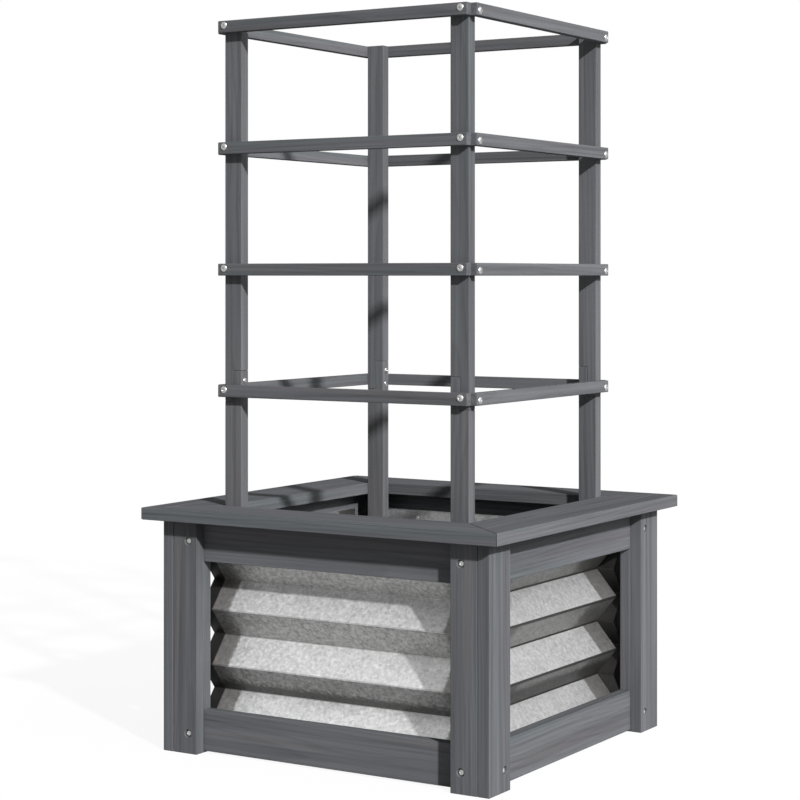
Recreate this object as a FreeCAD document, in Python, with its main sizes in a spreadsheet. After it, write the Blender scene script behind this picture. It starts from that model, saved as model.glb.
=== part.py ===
import FreeCAD, Part
import math
import os
import Sketcher

# A square raised planter in stained wood, with V-folded metal panels between its legs and a
# four-storey trellis standing on posts inside the rim.
#
# Frame: millimetres, +Z up, origin on the ground at the middle of the plan.
# The front looks along -Y. Every side is first worked out as the front one and then turned
# about Z: 0 = front, 1 = right, 2 = back, 3 = left.

document = FreeCAD.newDocument("planter_with_trellis")
sheet = document.addObject("Spreadsheet::Sheet", "dims")


# ---------------------------------------------------------------- sizes and their formulas

class Size:
    """A length that carries its number and the formula that gives it."""

    def __init__(self, number, formula):
        self.number = number
        self.formula = formula

    def join(self, sign, number, other, swapped=False):
        pair = (size(other).formula, self.formula) if swapped else (self.formula, size(other).formula)
        return Size(number, f"({pair[0]} {sign} {pair[1]})")

    def __add__(self, other):
        return self.join("+", self.number + size(other).number, other)

    def __radd__(self, other):
        return self.join("+", size(other).number + self.number, other, True)

    def __sub__(self, other):
        return self.join("-", self.number - size(other).number, other)

    def __rsub__(self, other):
        return self.join("-", size(other).number - self.number, other, True)

    def __mul__(self, other):
        return self.join("*", self.number * size(other).number, other)

    def __rmul__(self, other):
        return self.join("*", size(other).number * self.number, other, True)

    def __truediv__(self, other):
        return self.join("/", self.number / size(other).number, other)

    def __neg__(self):
        return Size(-self.number, f"(0 - {self.formula})")


def size(value):
    return value if isinstance(value, Size) else Size(float(value), repr(float(value)))


def diagonal(a, b):
    return Size(math.hypot(a.number, b.number), f"sqrt({a.formula} ^ 2 + {b.formula} ^ 2)")


def dimension(alias, number, note):
    """A driving dimension: one row of the sheet, with its alias."""
    row = dimension.row = getattr(dimension, "row", 0) + 1
    sheet.set(f"A{row}", alias)
    sheet.set(f"B{row}", str(number))
    sheet.set(f"C{row}", note)
    sheet.setAlias(f"B{row}", alias)
    return Size(float(number), f"dims.{alias}")


def bind(target, path, value):
    target.setExpression(path, size(value).formula)


rim_side = dimension("rim_side", 600, "outer side of the rim")
frame_side = dimension("frame_side", 552, "outer side of the box, over the leg boards")
leg_height = dimension("leg_height", 345, "ground to the underside of the rim")
board = dimension("board_thickness", 18, "thickness of every board of the box and rim")
board_width = dimension("board_width", 61, "width of leg side boards and rails")
ground_gap = dimension("ground_gap", 3, "bottom rail above the ground")
edge_radius = dimension("edge_radius", 1, "rounding of board edges")

spread_x = dimension("post_spread_x", 418, "over the outer faces of the posts, left to right")
spread_y = dimension("post_spread_y", 424, "over the outer faces of the posts, front to back")
post_width = dimension("post_width", 30, "post, left to right")
post_depth = dimension("post_depth", 18, "post, front to back")
post_foot = dimension("post_foot", 265, "underside of the posts, inside the box")
lap_bottom = dimension("lap_bottom", 520, "lower shoulder of the splice in each post")
lap_top = dimension("lap_top", 566, "upper shoulder of the splice")

bar_pitch = dimension("bar_pitch", 181.5, "rim top to first bar top, and from bar to bar")
bar_height = dimension("bar_height", 18, "height of a trellis bar")
bar_thickness = dimension("bar_thickness", 13, "thickness of a trellis bar")
bar_overrun = dimension("bar_overrun", 4, "front and back bars past the posts' sides")

sheet_metal = dimension("sheet_thickness", 0.8, "panel sheet")
fold_pitch = dimension("fold_pitch", 82, "height of one V fold")
fold_depth = dimension("fold_depth", 34, "depth of a V fold")
fold_middle = dimension("fold_middle", 169.5, "height of the middle valley")
flange = dimension("flange_height", 26, "flat flange above and below the folds")
fold_radius = dimension("fold_radius", 1.5, "bend radius of the folds")
panel_lap = dimension("panel_lap", 18, "front and back panels behind the corner stiles")
panel_gap = dimension("panel_gap", 2, "side panels to the folds of the front and back ones")

dowel_radius = dimension("dowel_radius", 4, "wooden dowels")
dowel_length = dimension("dowel_length", 32, "wooden dowels")
dowel_depth_rail = dimension("dowel_depth_in_rail_end", 14, "bore in the end of a rail")
dowel_depth_rim = dimension("dowel_depth_in_rim", 12, "blind bore in the underside of the rim")
dowel_spacing = dimension("dowel_spacing", 31, "between the two dowels of a rail end")
rim_dowel_offset = dimension("rim_dowel_offset", 100, "rim dowels to the middle of a side")

leg_screw_inset = dimension("leg_screw_inset", 30, "leg screws to the board's end")
leg_screw_side = dimension("leg_screw_side", 45, "leg screws to the outer corner")
counterbore = dimension("counterbore_radius", 5.5, "recess round a leg screw's head")
counterbore_depth = dimension("counterbore_depth", 4, "recess round a leg screw's head")
bar_screw_inset = dimension("bar_screw_inset", 7, "front bar screws to the post's outer side")
bar_screw_stagger = dimension("bar_screw_stagger", 1.9, "screws of crossing bars, up or down")
splice_screw_low = dimension("splice_screw_low", 529, "height of the lower splice screw")
splice_screw_high = dimension("splice_screw_high", 551, "height of the upper splice screw")
panel_screw_offset = dimension("panel_screw_offset", 140, "outer panel screws to the middle")
block_height = dimension("block_height", 26, "spacer block behind each post foot")
foot_screw_height = dimension("foot_screw_height", 301, "height of the post foot screws")
recess_span = dimension("recess_span", 4.4, "cross recess in a screw head, tip to tip")
recess_width = dimension("recess_width", 1.2, "arm of the cross recess")
recess_depth = dimension("recess_depth", 1.4, "depth of the cross recess")

document.recompute()

# Heights and distances from the middle that several pieces share.
half_rim = rim_side / 2
half_frame = frame_side / 2
face_back = half_frame - board
inner_face = half_frame - 2 * board
stile_edge = half_frame - board_width
rail_length = 2 * stile_edge
rim_top = leg_height + board
top_rail_middle = leg_height - board_width / 2
bottom_rail_middle = ground_gap + board_width / 2
post_x = (spread_x - post_width) / 2
post_y = (spread_y - post_depth) / 2
top_of_posts = rim_top + 4 * bar_pitch
top_tip = fold_middle + fold_pitch * 1.5
bottom_tip = fold_middle - fold_pitch * 1.5
top_flange_middle = top_tip + flange / 2
bottom_flange_middle = bottom_tip - flange / 2
block_depth = inner_face - sheet_metal - spread_y / 2

SIDES = ("front", "right", "back", "left")
# Each corner of the plan: its two sides, and the hand and quarter that lead there from the front.
CORNERS = (
    ("front", "left", -1, 0),
    ("front", "right", 1, 0),
    ("back", "left", 1, 2),
    ("back", "right", -1, 2),
)
LEVELS = (1, 2, 3, 4)
BOTH = (-1, 1)


def bar_middle(level):
    return rim_top + level * bar_pitch - bar_height / 2


# ---------------------------------------------------------------- sketches, features, placing

NORMALS = {"x": "YZ_Plane", "y": "XZ_Plane", "z": "XY_Plane"}
ALONG = FreeCAD.Vector(1, 0, 0)
UP = FreeCAD.Vector(0, 0, 1)
FORWARD = FreeCAD.Vector(0, -1, 0)
BACKWARD = FreeCAD.Vector(0, 1, 0)

# An edge runs along an axis when its two ends differ by more than this.
RUN = 1

# A lying board has its length across the side and its width upright; a standing board has its
# length upright. Both carry local Z outwards, through the thickness.
LYING = FreeCAD.Rotation(ALONG, 90)
STANDING = FreeCAD.Rotation(-UP, ALONG, FORWARD, "XYZ")
UPRIGHT = FreeCAD.Rotation()


def new_body(name):
    body = document.addObject("PartDesign::Body", name)
    body.Label = name
    return body


def new_sketch(body, normal, level=None):
    sketch = body.newObject("Sketcher::SketchObject", "Sketch")
    role = NORMALS[normal]
    plane = [item for item in body.Origin.OriginFeatures if item.Role == role][0]
    sketch.AttachmentSupport = [(plane, "")]
    sketch.MapMode = "FlatFace"
    if level is not None:
        # The XZ plane looks along -Y, the other two along their own axis.
        bind(sketch, "AttachmentOffset.Base.z", -level if normal == "y" else level)
    return sketch


def tie(sketch, index, vertex, point):
    """Tie a point of a sketch to the origin by its two coordinates."""
    for kind, value in zip(("DistanceX", "DistanceY"), point):
        item = Sketcher.Constraint(kind, -1, 1, index, vertex, value.number)
        bind(sketch, f"Constraints[{sketch.addConstraint(item)}]", value)


def polygon(sketch, points):
    points = [(size(x), size(y)) for x, y in points]
    count = len(points)
    corners = [FreeCAD.Vector(x.number, y.number, 0) for x, y in points]
    for index in range(count):
        sketch.addGeometry(Part.LineSegment(corners[index], corners[(index + 1) % count]))
    for index in range(count):
        sketch.addConstraint(Sketcher.Constraint("Coincident", index, 2, (index + 1) % count, 1))
    for index in range(count):
        tie(sketch, index, 1, points[index])


def rectangle(sketch, width, height):
    x = size(width) / 2
    y = size(height) / 2
    polygon(sketch, [(-x, -y), (x, -y), (x, y), (-x, y)])


def circles(sketch, centres, radius):
    for x, y in centres:
        middle = FreeCAD.Vector(size(x).number, size(y).number, 0)
        index = sketch.addGeometry(Part.Circle(middle, UP, radius.number))
        tie(sketch, index, 3, (size(x), size(y)))
        round_size = sketch.addConstraint(Sketcher.Constraint("Radius", index, radius.number))
        bind(sketch, f"Constraints[{round_size}]", radius)


def pad(body, sketch, length, both_ways=False):
    feature = body.newObject("PartDesign::Pad", "Pad")
    feature.Profile = sketch
    feature.Midplane = both_ways
    bind(feature, "Length", length)
    document.recompute()
    return feature


def cut(body, sketch, towards, depth):
    """Cut the sketch into the body along +axis or -axis; it must remove something."""
    before = body.Shape.Volume
    feature = body.newObject("PartDesign::Pocket", "Pocket")
    feature.Profile = sketch
    # A pocket runs against its plane's normal unless it is reversed.
    feature.Reversed = towards in ("+x", "+z", "-y")
    bind(feature, "Length", depth)
    document.recompute()
    if body.Shape.Volume > before - 0.01:
        raise RuntimeError(f"{body.Label}: a cut along {towards} removed nothing")


def bore(body, towards, start, depth, centres, radius):
    """Round bores along an axis. Their centres are in the plane's own two coordinates."""
    sketch = new_sketch(body, towards[1], start)
    circles(sketch, centres, radius)
    cut(body, sketch, towards, depth)


def soften(body, feature, radius, choose):
    """Round the straight edges of a feature that choose() picks by their two ends."""
    names = []
    for number, edge in enumerate(feature.Shape.Edges, 1):
        if edge.Curve.TypeId == "Part::GeomLine" and choose(*[vertex.Point for vertex in edge.Vertexes]):
            names.append(f"Edge{number}")
    fillet = body.newObject("PartDesign::Fillet", "Fillet")
    fillet.Base = (feature, names)
    bind(fillet, "Radius", radius)
    document.recompute()


def turned(x, y, quarter):
    """A place on the front side, moved round to another side."""
    return ((x, y), (-y, x), (-x, -y), (y, -x))[quarter]


def place(item, across, outwards, height, rotation=UPRIGHT, quarter=0):
    x, y = turned(size(across), -size(outwards), quarter)
    item.Placement = FreeCAD.Placement(FreeCAD.Vector(), FreeCAD.Rotation(UP, 90 * quarter) * rotation)
    for axis, value in (("x", x), ("y", y), ("z", size(height))):
        bind(item, f"Placement.Base.{axis}", value)
    return item


def make_board(name, length, width, thickness, all_edges=False):
    """A board centred on its inner face, with rounded long edges or all edges rounded."""
    body = new_body(name)
    sketch = new_sketch(body, "z")
    rectangle(sketch, length, width)
    feature = pad(body, sketch, thickness)
    soften(body, feature, edge_radius, lambda a, b: all_edges or abs(a.x - b.x) > RUN)
    return body


# ---------------------------------------------------------------- fasteners

# A domed head, as shares of its height and radius.
HEAD_SHOULDER = 0.35
HEAD_CROWN_RADIUS = 0.72
HEAD_CROWN_HEIGHT = 0.86
# Each screw is driven home at another angle.
HEAD_TURN = 37


class Fastener:
    """A screw or dowel: its body and the places of its copies."""

    def __init__(self, name, head_radius=None, head_height=None, shank_radius=None, length=None):
        self.name = name
        self.copies = []
        self.body = new_body(f"one_{name}")
        if head_radius is None:
            self.length = dowel_length
            self.make_dowel()
            return
        self.head_radius = dimension(f"{name}_head_radius", head_radius, "screw head")
        self.head_height = dimension(f"{name}_head_height", head_height, "screw head")
        self.radius = dimension(f"{name}_shank_radius", shank_radius, "screw shank")
        self.length = dimension(f"{name}_length", length, "under the head, to the point")
        document.recompute()
        self.make_screw()

    def make_dowel(self):
        sketch = new_sketch(self.body, "z", -self.length / 2)
        circles(sketch, [(0, 0)], dowel_radius)
        feature = pad(self.body, sketch, self.length)
        chamfer = self.body.newObject("PartDesign::Chamfer", "Chamfer")
        rims = [number for number, edge in enumerate(feature.Shape.Edges, 1) if len(edge.Vertexes) == 1]
        chamfer.Base = (feature, [f"Edge{number}" for number in rims])
        bind(chamfer, "Size", edge_radius)
        document.recompute()

    def make_screw(self):
        """Half the outline turned about the axis; the head stands on z = 0."""
        shoulder = self.head_height * HEAD_SHOULDER
        crown = self.head_radius * HEAD_CROWN_RADIUS
        crown_height = self.head_height * HEAD_CROWN_HEIGHT
        point = self.radius * 2
        outline = new_sketch(self.body, "y")
        polygon(outline, [
            (0, -self.length), (self.radius, point - self.length), (self.radius, 0),
            (self.head_radius, 0), (self.head_radius, shoulder), (crown, crown_height),
            (crown / 2, self.head_height), (0, self.head_height),
        ])
        turn = self.body.newObject("PartDesign::Revolution", "Revolution")
        turn.Profile = outline
        turn.ReferenceAxis = (outline, ["V_Axis"])
        turn.Angle = 360
        document.recompute()
        cross = new_sketch(self.body, "z", self.head_height)
        arm = recess_span / 2
        side = recess_width / 2
        polygon(cross, [
            (side, side), (arm, side), (arm, -side), (side, -side), (side, -arm), (-side, -arm),
            (-side, -side), (-arm, -side), (-arm, side), (-side, side), (-side, arm), (side, arm),
        ])
        cut(self.body, cross, "-z", recess_depth)

    def add(self, across, outwards, height, facing, quarter=0):
        """One more copy: its head faces along the vector facing, given for the front side."""
        copy = document.addObject("App::Link", f"{self.name}_{len(self.copies) + 1}")
        copy.LinkedObject = self.body
        copy.LinkTransform = False
        roll = FreeCAD.Rotation(UP, HEAD_TURN * len(self.copies))
        place(copy, across, outwards, height, FreeCAD.Rotation(UP, facing) * roll, quarter)
        self.copies.append(copy)

    def group(self):
        compound = document.addObject("Part::Compound", f"{self.name}_group")
        compound.Label = self.name
        compound.Links = self.copies
        return compound


leg_screws = Fastener("leg_screws", 5, 2.6, 2, 28)
bar_screws = Fastener("bar_screws", 5.3, 2.2, 1.75, 25)
splice_screws = Fastener("splice_screws", 4.2, 2, 1.75, 26)
panel_screws = Fastener("panel_screws", 4, 2, 1.75, 12)
foot_screws = Fastener("post_foot_screws", 4.5, 2.4, 2.5, 58)
dowels = Fastener("dowels")

nodes = []


# ---------------------------------------------------------------- the box: legs and stiles

leg_screw_place = half_frame - leg_screw_side
leg_screw_heights = (leg_screw_inset, leg_height - leg_screw_inset)
leg_middle = leg_height / 2
dowel_heights = [middle + side * dowel_spacing / 2
                 for middle in (bottom_rail_middle, top_rail_middle) for side in BOTH]


def local_heights(heights):
    """Heights on a standing board, whose local X points down from its middle."""
    return [leg_middle - height for height in heights]


def leg_board(name, width, hand, quarter):
    """A leg board: outermost layer, with a counterbored screw near each end."""
    body = make_board(name, leg_height, width, board)
    middle = stile_edge + width / 2
    across = hand * (leg_screw_place - middle)
    centres = [(x, across) for x in local_heights(leg_screw_heights)]
    bore(body, "+z", size(0), board, centres, leg_screws.radius)
    bore(body, "+z", board - counterbore_depth, counterbore_depth, centres, counterbore)
    place(body, hand * middle, face_back, leg_middle, STANDING, quarter)
    for height in leg_screw_heights:
        leg_screws.add(hand * leg_screw_place, half_frame - counterbore_depth, height, FORWARD, quarter)
    nodes.append(body)


def stile(name, width, hand, quarter):
    """The upright behind a leg board: it takes the leg screws and the rails' dowels."""
    body = make_board(name, leg_height, width, board)
    middle = stile_edge + width / 2
    across = hand * (leg_screw_place - middle)
    screw_depth = leg_screws.length + counterbore_depth - board
    centres = [(x, across) for x in local_heights(leg_screw_heights)]
    bore(body, "-z", board, screw_depth, centres, leg_screws.radius)
    centres = [(x, board / 2) for x in local_heights(dowel_heights)]
    inwards = "+y" if hand > 0 else "-y"
    bore(body, inwards, -hand * width / 2, dowel_length - dowel_depth_rail, centres, dowel_radius)
    return place(body, hand * middle, inner_face, leg_middle, STANDING, quarter)


face_board_width = board_width - board
side_stile_width = board_width - 2 * board
for front, side, hand, quarter in CORNERS:
    corner = f"{front}_{side}"
    # Turned a quarter on, the same corner is at the other hand of the next side.
    side_quarter = 1 if side == "right" else 3
    side_hand = -hand
    leg_board(f"{corner}_leg_face_board", face_board_width, hand, quarter)
    leg_board(f"{corner}_leg_side_board", board_width, side_hand, side_quarter)
    pair = document.addObject("Part::Compound", f"{corner}_stile_pair")
    pair.Label = f"{corner}_corner_stiles"
    pair.Links = [
        stile(f"{corner}_face_stile", face_board_width, hand, quarter),
        stile(f"{corner}_side_stile", side_stile_width, side_hand, side_quarter),
    ]
    nodes.append(pair)


# ---------------------------------------------------------------- the box: rails and panels

panel_screw_places = (-panel_screw_offset, size(0), panel_screw_offset)


def rail(name, middle, flange_middle, quarter, is_top):
    body = make_board(name, rail_length, board_width, board)
    ends = [(side * dowel_spacing / 2, board / 2) for side in BOTH]
    bore(body, "+x", -rail_length / 2, dowel_depth_rail, ends, dowel_radius)
    bore(body, "-x", rail_length / 2, dowel_depth_rail, ends, dowel_radius)
    screw_depth = panel_screws.length - sheet_metal
    centres = [(x, flange_middle - middle) for x in panel_screw_places]
    bore(body, "+z", size(0), screw_depth, centres, panel_screws.radius)
    for hand in BOTH:
        for side in BOTH:
            dowel_middle = rail_length / 2 - dowel_depth_rail + dowel_length / 2
            height = middle + side * dowel_spacing / 2
            dowels.add(hand * dowel_middle, inner_face + board / 2, height, ALONG, quarter)
    for x in panel_screw_places:
        panel_screws.add(x, inner_face - sheet_metal, flange_middle, BACKWARD, quarter)
    if is_top:
        centres = [(side * rim_dowel_offset, board / 2) for side in BOTH]
        bore(body, "-y", board_width / 2, dowel_length - dowel_depth_rim, centres, dowel_radius)
        for side in BOTH:
            height = leg_height + dowel_depth_rim - dowel_length / 2
            dowels.add(side * rim_dowel_offset, inner_face + board / 2, height, UP, quarter)
    if is_top and quarter in (0, 2):
        centres = [(side * post_x, foot_screw_height - middle) for side in BOTH]
        depth = foot_screws.length - block_depth - post_depth - sheet_metal
        bore(body, "+z", size(0), depth, centres, foot_screws.radius)
    place(body, 0, inner_face, middle, LYING, quarter)
    nodes.append(body)


def panel_outline():
    """The folded sheet seen from its end: outer face upwards, then inner face downwards."""
    half = fold_pitch / 2
    outer = -inner_face
    valley = outer + fold_depth
    # Measured level, the slanted faces are thicker than the sheet.
    level_thickness = sheet_metal * diagonal(fold_depth, half) / half
    lift = (level_thickness - sheet_metal) * half / fold_depth
    folds = [(outer if step % 2 else valley, fold_middle + step * half) for step in range(-3, 4)]
    outside = [(outer, bottom_tip - flange)] + folds + [(outer, top_tip + flange)]
    inside = [(y + level_thickness, z) for y, z in folds]
    inside[0] = (outer + sheet_metal, bottom_tip - lift)
    inside[-1] = (outer + sheet_metal, top_tip + lift)
    inside = [(outer + sheet_metal, bottom_tip - flange)] + inside + [(outer + sheet_metal, top_tip + flange)]
    return outside + inside[::-1]


def panel(name, length, quarter):
    body = new_body(name)
    sketch = new_sketch(body, "x")
    polygon(sketch, panel_outline())
    feature = pad(body, sketch, length, both_ways=True)
    # Every bend is rounded; the two outer edges of the flanges stay sharp.
    low = (bottom_tip - flange).number + RUN
    high = (top_tip + flange).number - RUN
    soften(body, feature, fold_radius, lambda a, b: abs(a.x - b.x) > RUN and low < a.z < high)
    centres = [(x, z) for z in (bottom_flange_middle, top_flange_middle) for x in panel_screw_places]
    if quarter in (0, 2):
        centres += [(side * post_x, foot_screw_height) for side in BOTH]
    # One punch makes all the holes: a fit on the foot screws, a clearance on the panel screws.
    bore(body, "+y", -inner_face, sheet_metal, centres, foot_screws.radius)
    place(body, 0, 0, 0, UPRIGHT, quarter)
    nodes.append(body)


level_sheet = sheet_metal * diagonal(fold_depth, fold_pitch / 2) / (fold_pitch / 2)
long_panel = 2 * (stile_edge + panel_lap)
short_panel = 2 * (inner_face - fold_depth - level_sheet - panel_gap)
for quarter, side in enumerate(SIDES):
    rail(f"{side}_top_rail", top_rail_middle, top_flange_middle, quarter, True)
    rail(f"{side}_bottom_rail", bottom_rail_middle, bottom_flange_middle, quarter, False)
    panel(f"{side}_folded_panel", long_panel if quarter in (0, 2) else short_panel, quarter)


# ---------------------------------------------------------------- the rim

def rim_board(name, inner_out, inner_across, quarter):
    """A mitred board: wide outer edge, narrow inner edge at the posts."""
    body = new_body(name)
    sketch = new_sketch(body, "z")
    polygon(sketch, [
        (-half_rim, -half_rim), (half_rim, -half_rim),
        (inner_across, -inner_out), (-inner_across, -inner_out),
    ])
    feature = pad(body, sketch, board)
    soften(body, feature, edge_radius, lambda a, b: True)
    centres = [(side * rim_dowel_offset, -inner_face - board / 2) for side in BOTH]
    bore(body, "+z", size(0), dowel_depth_rim, centres, dowel_radius)
    place(body, 0, 0, leg_height, UPRIGHT, quarter)
    nodes.append(body)


for quarter, side in enumerate(SIDES):
    if quarter in (0, 2):
        rim_board(f"{side}_rim_board", spread_y / 2, spread_x / 2, quarter)
    else:
        rim_board(f"{side}_rim_board", spread_x / 2, spread_y / 2, quarter)


# ---------------------------------------------------------------- the trellis: posts

def post_half(name, hand, quarter, outline):
    """Half of a post, its outer side towards hand * x and its face towards -y."""
    body = new_body(name)
    sketch = new_sketch(body, "y")
    polygon(sketch, [(hand * size(x), z) for x, z in outline])
    feature = pad(body, sketch, post_depth, both_ways=True)
    soften(body, feature, edge_radius, lambda a, b: abs(a.z - b.z) > RUN and abs(a.x) > RUN)
    bore_splice(body, hand)
    place(body, hand * post_x, post_y, 0, UPRIGHT, quarter)
    nodes.append(body)
    return body


def bore_splice(body, hand):
    towards = "+x" if hand > 0 else "-x"
    centres = [(0, splice_screw_low), (0, splice_screw_high)]
    bore(body, towards, -hand * post_width / 2, splice_screws.length, centres, splice_screws.radius)


half_post = post_width / 2
front_screw_x = half_post - bar_screw_inset
lower_outline = [
    (-half_post, post_foot), (half_post, post_foot), (half_post, lap_bottom),
    (0, lap_bottom), (0, lap_top), (-half_post, lap_top),
]
upper_outline = [
    (-half_post, lap_top), (0, lap_top), (0, lap_bottom),
    (half_post, lap_bottom), (half_post, top_of_posts), (-half_post, top_of_posts),
]
bar_screw_depth = bar_screws.length - bar_thickness
for front, side, hand, quarter in CORNERS:
    lower = post_half(f"{front}_{side}_lower_post", hand, quarter, lower_outline)
    bore(lower, "+y", -post_depth / 2, post_depth, [(0, foot_screw_height)], foot_screws.radius)
    upper = post_half(f"{front}_{side}_upper_post", hand, quarter, upper_outline)
    centres = [(hand * front_screw_x, bar_middle(level) + bar_screw_stagger) for level in LEVELS]
    bore(upper, "+y", -post_depth / 2, bar_screw_depth, centres, bar_screws.radius)
    centres = [(0, bar_middle(level) - bar_screw_stagger) for level in LEVELS]
    bore(upper, "-x" if hand > 0 else "+x", hand * half_post, bar_screw_depth, centres, bar_screws.radius)
    for height in (splice_screw_low, splice_screw_high):
        splice_screws.add(hand * (post_x - half_post), post_y, height, ALONG * -hand, quarter)
    foot_screws.add(hand * post_x, post_y - post_depth / 2, foot_screw_height, BACKWARD, quarter)

one_block = new_body("one_post_block")
block_sketch = new_sketch(one_block, "z")
rectangle(block_sketch, post_width, block_depth)
pad(one_block, block_sketch, block_height)
bore(one_block, "+y", -block_depth / 2, block_depth, [(0, foot_screw_height - top_tip)], foot_screws.radius)
blocks = document.addObject("Part::Compound", "post_block_group")
blocks.Label = "post_blocks"
block_copies = []
for front, side, hand, quarter in CORNERS:
    copy = document.addObject("App::Link", f"{front}_{side}_post_block")
    copy.LinkedObject = one_block
    copy.LinkTransform = False
    place(copy, hand * post_x, (spread_y + block_depth) / 2, top_tip, UPRIGHT, quarter)
    block_copies.append(copy)
blocks.Links = block_copies
nodes.append(blocks)


# ---------------------------------------------------------------- the trellis: bars

def bar(name, length, outwards, screw_place, stagger, level, quarter):
    """A bar on the posts' outer faces, with a screw into each post."""
    body = make_board(name, length, bar_height, bar_thickness, all_edges=True)
    centres = [(side * screw_place, stagger) for side in BOTH]
    bore(body, "+z", size(0), bar_thickness, centres, bar_screws.radius)
    place(body, 0, outwards, bar_middle(level), LYING, quarter)
    height = bar_middle(level) + stagger
    for side in BOTH:
        bar_screws.add(side * screw_place, outwards + bar_thickness, height, FORWARD, quarter)
    nodes.append(body)


face_bar_length = spread_x + 2 * bar_overrun
for quarter, side in enumerate(SIDES):
    for level in LEVELS:
        name = f"{side}_trellis_bar_{level}"
        if quarter in (0, 2):
            bar(name, face_bar_length, spread_y / 2, spread_x / 2 - bar_screw_inset,
                bar_screw_stagger, level, quarter)
        else:
            bar(name, spread_y, spread_x / 2, post_y, -bar_screw_stagger, level, quarter)

for fastener in (leg_screws, bar_screws, splice_screws, panel_screws, foot_screws, dowels):
    nodes.append(fastener.group())


# ---------------------------------------------------------------- check and write

document.recompute()
for item in document.Objects:
    if "Invalid" in item.State or "Error" in item.State:
        raise RuntimeError(f"{item.Label}: {item.State}")

os.makedirs("parts", exist_ok=True)
for node in nodes:
    if node.Shape.isNull() or not node.Shape.isValid() or not node.Shape.Solids:
        raise RuntimeError(f"{node.Label} has no valid solid")
    node.Shape.exportStep(f"parts/{node.Label}.step")

print(len(nodes), "nodes,", sum(len(node.Shape.Solids) for node in nodes), "solids")
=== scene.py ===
import math
import random

import bmesh
import bpy
from bpy.props import FloatProperty, FloatVectorProperty, IntProperty, PointerProperty
from mathutils import Matrix, Vector


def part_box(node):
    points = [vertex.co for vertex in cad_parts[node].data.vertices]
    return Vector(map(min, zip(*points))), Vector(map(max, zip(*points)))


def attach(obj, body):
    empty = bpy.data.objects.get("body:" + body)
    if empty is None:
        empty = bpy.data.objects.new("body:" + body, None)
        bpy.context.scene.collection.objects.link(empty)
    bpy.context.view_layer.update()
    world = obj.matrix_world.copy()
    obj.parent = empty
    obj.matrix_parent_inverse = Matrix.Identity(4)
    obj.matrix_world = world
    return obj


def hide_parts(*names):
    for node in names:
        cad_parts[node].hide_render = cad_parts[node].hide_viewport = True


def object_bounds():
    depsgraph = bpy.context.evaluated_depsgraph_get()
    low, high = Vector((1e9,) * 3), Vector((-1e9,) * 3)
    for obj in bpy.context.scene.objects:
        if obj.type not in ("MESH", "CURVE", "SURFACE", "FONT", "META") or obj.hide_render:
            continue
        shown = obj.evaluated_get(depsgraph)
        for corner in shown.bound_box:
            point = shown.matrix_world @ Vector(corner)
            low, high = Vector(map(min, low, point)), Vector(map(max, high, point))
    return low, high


bl_info = {
    "name": "Planter with trellis",
    "version": (1, 0, 0),
    "blender": (4, 5, 0),
    "location": "3D View > Sidebar > Planter",
    "description": "Stained timber, folded zinc sheet and screws around the planter's frame",
    "category": "Object",
}

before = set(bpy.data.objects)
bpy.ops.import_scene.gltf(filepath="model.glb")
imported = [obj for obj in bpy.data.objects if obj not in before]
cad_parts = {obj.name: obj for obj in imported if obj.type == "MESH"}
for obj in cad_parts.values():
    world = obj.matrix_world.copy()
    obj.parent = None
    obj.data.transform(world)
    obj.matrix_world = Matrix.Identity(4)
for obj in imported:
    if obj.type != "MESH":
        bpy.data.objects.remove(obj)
CAD_LOW, CAD_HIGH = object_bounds()

ACROSS = ("front", "back")
ALONG_Y = ("left", "right")
SIDES = ACROSS + ALONG_Y
PICTURE_PIXELS = 800


# ---------------------------------------------------------------- what a user would change

def metres(name, description, default, **more):
    return FloatProperty(name=name, description=description, default=default, unit="LENGTH",
                         precision=4, **more)


def colour(name, description, default):
    return FloatVectorProperty(name=name, description=description, default=default,
                               subtype="COLOR", size=3, min=0, max=1)


def share(name, description, default):
    return FloatProperty(name=name, description=description, default=default, min=0, max=1,
                         subtype="FACTOR")


class PlanterSizes(bpy.types.PropertyGroup):
    """Sizes of details that the frame's boxes don't give."""

    edge_radius: metres("Board edges", "Rounding of every board's edges", 0.0011, min=0.0001)
    mitre_gap: metres("Mitre gap", "How far a rim board stops short of its neighbour", 0.0006)
    seam_gap: metres("Leg seam", "How far a leg's face board stops short of its side board", 0.0006)
    counterbore_radius: metres("Leg recess", "Radius of the recess round a leg screw", 0.0055)
    counterbore_depth: metres("Leg recess depth", "Depth of the recess round a leg screw", 0.004)
    sheet_thickness: metres("Sheet", "Thickness of the folded sheet", 0.0008)
    flange_height: metres("Flange", "Flat flange above and below the folds", 0.026)
    fold_depth: metres("Fold depth", "Depth of a V fold", 0.034)
    bend_radius: metres("Bend radius", "Inner radius of the sheet's bends", 0.0012)
    dent: metres("Dents", "How far the sheet's flat faces wander", 0.0003)
    # Width of a darker band at each end of a sheet.
    end_band_width: metres("Dull ends", "Width of the duller band at each end of a sheet", 0.050)
    # The dark band behind the stiles is painted shade.
    dark_end: metres("Dark ends", "Width of the dark band behind the stiles", 0.0205)
    fold_count: IntProperty(name="Folds", description="V folds in a sheet", default=3, min=1)
    recess_span: metres("Screw recess", "Cross recess in a head, tip to tip", 0.0046)
    recess_depth: metres("Recess depth", "Depth of the cross recess", 0.0013)


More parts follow.
